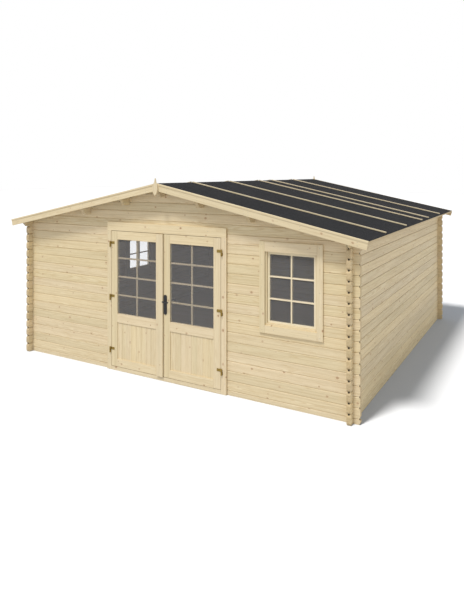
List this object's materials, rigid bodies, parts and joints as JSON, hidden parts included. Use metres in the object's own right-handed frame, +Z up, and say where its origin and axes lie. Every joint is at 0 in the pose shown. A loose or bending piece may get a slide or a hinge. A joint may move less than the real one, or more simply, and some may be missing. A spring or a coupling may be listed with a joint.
{
  "type": "log cabin garden house",
  "caption": "Garden house of interlocking wall logs under a low gable roof, with glazed doors that open outward, a sprung lever handle and paned windows.",
  "frame": {"origin": "on the ground, under the middle of the house", "axes": "+X to the right of someone facing the doors, +Y from the doors to the rear wall, +Z up"},
  "size_m": [5.268, 5.222, 2.525],
  "materials": {
    "log_wood": "bare pine, planed",
    "trim_wood": "bare pine, planed",
    "floor_wood": "bare pine boards",
    "batten_wood": "weathered pine",
    "roof_felt": "mineral surfaced roofing felt",
    "window_glass": "clear glass",
    "hinge_brass": "aged brass",
    "handle_black": "black, satin"
  },
  "bodies": {
    "house": {"floor_joists": "floor_wood", "floor_boards": "floor_wood", "front_wall_left": "log_wood", "front_wall_right": "log_wood", "front_gable": "log_wood", "rear_wall": "log_wood", "rear_gable": "log_wood", "left_wall": "log_wood", "right_wall": "log_wood", "purlins": "log_wood", "left_roof_boards": "log_wood", "right_roof_boards": "log_wood", "roof_felt": "roof_felt", "roof_battens": "batten_wood", "front_barge_boards": "trim_wood", "rear_barge_boards": "trim_wood", "finials": "trim_wood", "left_jamb": "trim_wood", "right_jamb": "trim_wood", "door_head": "trim_wood", "threshold": "trim_wood", "frame_hinges": "hinge_brass", "front_window_frame": "trim_wood", "front_window_sash": "trim_wood", "front_window_glass": "window_glass", "left_window_frame": "trim_wood", "left_window_sash": "trim_wood", "left_window_glass": "window_glass"},
    "left_leaf": {"left_leaf_frame": "trim_wood", "left_leaf_panel": "trim_wood", "left_leaf_glass": "window_glass", "left_leaf_bars": "trim_wood", "left_leaf_hinges": "hinge_brass", "meeting_strip": "trim_wood"},
    "right_leaf": {"right_leaf_frame": "trim_wood", "right_leaf_panel": "trim_wood", "right_leaf_glass": "window_glass", "right_leaf_bars": "trim_wood", "right_leaf_hinges": "hinge_brass", "handle_plates": "handle_black"},
    "lever": {"door_lever": "handle_black"}
  },
  "joints": [
    {"name": "left_door", "type": "hinge", "parent": "house", "child": "left_leaf", "pos_m": [-0.856, -2.459, 0.955], "axis": [0, 0, -1], "range_deg": [0, 150]},
    {"name": "right_door", "type": "hinge", "parent": "house", "child": "right_leaf", "pos_m": [0.856, -2.459, 0.955], "axis": [0, 0, 1], "range_deg": [0, 150]},
    {"name": "handle", "type": "hinge", "parent": "right_leaf", "child": "lever", "pos_m": [0.0405, -2.427, 1], "axis": [0, 1, 0], "range_deg": [0, 35], "stiffness_Nm_per_rad": 1.5, "springref_deg": -20.05}
  ]
}
